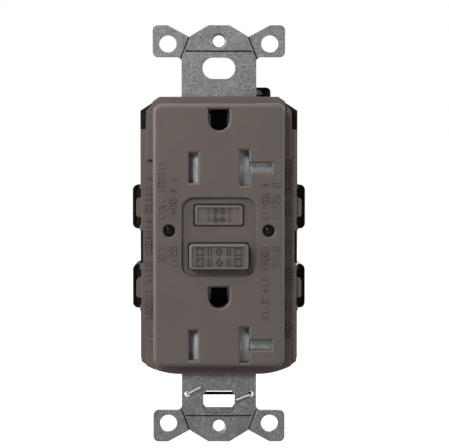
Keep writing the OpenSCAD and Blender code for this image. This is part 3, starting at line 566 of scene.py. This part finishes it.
WIRE_RADIUS = 0.38
RIDGE_RISE, RIDGE_PITCH = 0.1, 0.5  # ridge round the crimped leg: share of the radius, mm
wire_low, wire_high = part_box("self_earthing_wire")
front, back = wire_low.y / MM + WIRE_RADIUS, wire_high.y / MM - WIRE_RADIUS
route = [
    (-4.4, front, -38.5), (-8.0, front, -40.4), (-8.0, back, -40.3),
    (8.0, back, -40.3), (8.0, front, -40.4), (4.4, front, -41.8)]
crimped = (Vector(route[1]) - Vector(route[0])).length - 0.5


def wire_radius(travel, angle):
    """Radius in mm, with a ridge winding round the first leg, where the wire is crimped."""
    ridge = RIDGE_RISE * math.sin(travel * math.tau / RIDGE_PITCH + angle) if travel < crimped else 0
    return WIRE_RADIUS * (1 + ridge)


# the legs behind the strap take the near-black finish: painted shadow
wire = swept_tube(
    "self_earthing_wire_formed", resampled(smooth_path(route, 0.5), 0.06), wire_radius,
    BODY_OF["self_earthing_wire"], slot_of["self_earthing_wire"], ("wire", "wire_back_painted_shadow"),
    lambda point: 1 if point.y > strap_y else 0)
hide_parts("self_earthing_wire")

# rolled lip round the lower half of the strap's lower slot, thinner where it starts
LIP_RADIUS = 0.24
LIP_X, LIP_TOP, LIP_BOTTOM = 3.98, -41.4, -45.05
lip_y = strap_y + 0.26
lip_route = [
    (-LIP_X, lip_y, LIP_TOP), (-LIP_X, lip_y, LIP_BOTTOM),
    (LIP_X, lip_y, LIP_BOTTOM), (LIP_X, lip_y, LIP_TOP)]
# painted highlight: the lip takes the lighter stamped finish
swept_tube(
    "slot_lip", resampled(smooth_path(lip_route, 1.5), 0.12),
    lambda travel, angle: LIP_RADIUS * min(1.0, 0.35 + travel / 1.4),
    "device", "galvanised", ("stamped",), lambda point: 0)


# ---- studio ---------------------------------------------------------------------------------

def aim(obj, target):
    """Turns a camera or light to face a point."""
    obj.rotation_euler = (Vector(target) - obj.location).to_track_quat("-Z", "Y").to_euler()


def softbox(name, place, size, watts):
    """A rectangular light that faces the origin; place and size are in metres."""
    light = bpy.data.lights.new(name, "AREA")
    light.shape = "RECTANGLE"
    light.size, light.size_y = size
    light.energy = watts
    obj = bpy.data.objects.new(name, light)
    bpy.context.collection.objects.link(obj)
    obj.location = place
    aim(obj, (0, 0, 0))


softbox("key", (-0.30, -0.62, 0.37), (0.16, 0.16), 2.65)
softbox("left", (-0.62, -0.08, 0.12), (0.4, 0.6), 4.0)
softbox("right", (0.62, -0.14, 0.04), (0.4, 0.6), 2.0)
softbox("top", (-0.1, -0.08, 0.75), (0.5, 0.4), 2.0)
softbox("rear", (0.25, 0.75, 0.35), (0.6, 0.5), 4.5)

world = bpy.data.worlds.new("studio")
bpy.context.scene.world = world
world.use_nodes = True
sky = world.node_tree
background = sky.nodes["Background"]
background.inputs["Color"].default_value = (1, 1, 1, 1)
seen = sky.nodes.new("ShaderNodeBackground")
seen.inputs["Color"].default_value = (1, 1, 1, 1)
seen.inputs["Strength"].default_value = 1.0
background.inputs["Strength"].default_value = 0.13
choose = sky.nodes.new("ShaderNodeMixShader")
path = sky.nodes.new("ShaderNodeLightPath")
sky.links.new(path.outputs["Is Camera Ray"], choose.inputs["Fac"])
sky.links.new(background.outputs["Background"], choose.inputs[1])
sky.links.new(seen.outputs["Background"], choose.inputs[2])
sky.links.new(choose.outputs["Shader"], sky.nodes["World Output"].inputs["Surface"])

floor_mesh = bpy.data.meshes.new("floor")
floor = bpy.data.objects.new("floor", floor_mesh)
bpy.context.collection.objects.link(floor)
FLOOR_HALF = 6.0
FLOOR_GAP = 0.004
corners = [(x * FLOOR_HALF, y * FLOOR_HALF, 0) for x, y in ((-1, -1), (1, -1), (1, 1), (-1, 1))]
floor_mesh.from_pydata(corners, [], [(0, 1, 2, 3)])
floor.location.z = cad_low.z - FLOOR_GAP
pale = Surface("pale_floor", 0.9)
pale.shader.inputs["Emission Color"].default_value = (1, 1, 1, 1)
pale.shader.inputs["Emission Strength"].default_value = 1.0
pale.colour(pale.blend(pale.noise(0.4), (0.14, 0.14, 0.14), (0.16, 0.16, 0.16)))
dim = pale.nodes.new("ShaderNodeEmission")
dim.inputs["Strength"].default_value = 0.32
seen_directly = pale.nodes.new("ShaderNodeLightPath")
either = pale.nodes.new("ShaderNodeMixShader")
pale.links.new(seen_directly.outputs["Is Camera Ray"], either.inputs["Fac"])
pale.links.new(dim.outputs["Emission"], either.inputs[1])
pale.links.new(pale.shader.outputs["BSDF"], either.inputs[2])
pale.links.new(either.outputs["Shader"], pale.nodes["Material Output"].inputs["Surface"])
finish_mesh(floor_mesh, pale.material)

camera_data = bpy.data.cameras.new("camera")
camera = bpy.data.objects.new("camera", camera_data)
bpy.context.collection.objects.link(camera)
camera_data.sensor_width = 36.0
camera_data.lens = 111.8
camera.location = (0, -0.3512, 0.017)
aim(camera, (0.001405, -0.0012, 0.00265))
camera_data.clip_start = 0.01
camera_data.clip_end = 50
bpy.context.scene.camera = camera
bpy.context.scene.view_settings.view_transform = "Standard"
